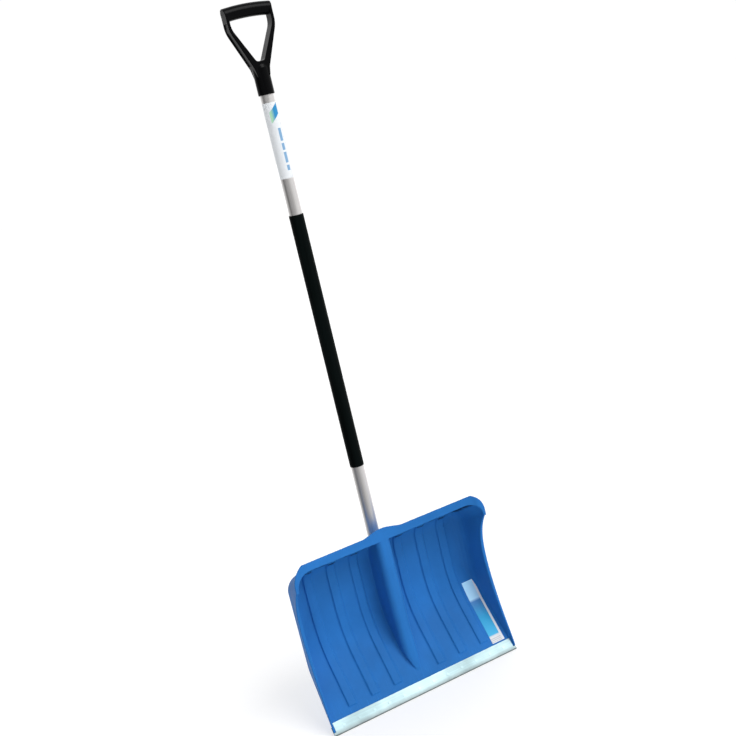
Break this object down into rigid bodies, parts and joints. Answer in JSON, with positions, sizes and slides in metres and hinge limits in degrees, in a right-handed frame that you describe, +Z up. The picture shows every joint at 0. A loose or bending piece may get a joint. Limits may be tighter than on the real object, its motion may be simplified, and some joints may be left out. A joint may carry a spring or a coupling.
{
  "type": "snow shovel",
  "caption": "Snow shovel with a deep blue moulded scoop, metal edge strip, aluminium tube shaft with a black sleeve and a black D grip.",
  "frame": {"origin": "middle of the cutting edge, at its lowest line", "axes": "+Z up along the shaft, -Y out of the open front of the scoop, +X to the right seen from the front"},
  "size_m": [0.502, 0.1358, 1.6005],
  "materials": {
    "scoop": "blue moulded polypropylene, satin gloss",
    "edge_strip": "mill-finish folded strip",
    "rivets": "plain rivets",
    "handle_tube": "drawn and anodised tube",
    "tube_plug": "black moulded plug",
    "shaft_sleeve": "black shrink sleeve, satin",
    "tube_label": "white film label with a plain printed motif",
    "d_grip": "black moulded polypropylene, fine texture",
    "screws": "zinc-plated pan-head screws",
    "scoop_label": "gradient film sticker, no lettering"
  },
  "bodies": {
    "root": {"scoop": "scoop", "edge_strip": "edge_strip", "handle_tube": "handle_tube", "tube_plug": "tube_plug", "shaft_sleeve": "shaft_sleeve", "tube_label": "tube_label", "d_grip": "d_grip", "scoop_screw_lower": "screws", "scoop_screw_upper": "screws", "grip_screw": "screws", "scoop_label": "scoop_label", "strip_rivet_1": "rivets", "strip_rivet_2": "rivets", "strip_rivet_3": "rivets", "strip_rivet_4": "rivets", "strip_rivet_5": "rivets", "strip_rivet_6": "rivets", "strip_rivet_7": "rivets", "strip_rivet_8": "rivets", "strip_rivet_9": "rivets", "strip_rivet_10": "rivets", "strip_rivet_11": "rivets", "strip_rivet_12": "rivets"}
  },
  "joints": []
}
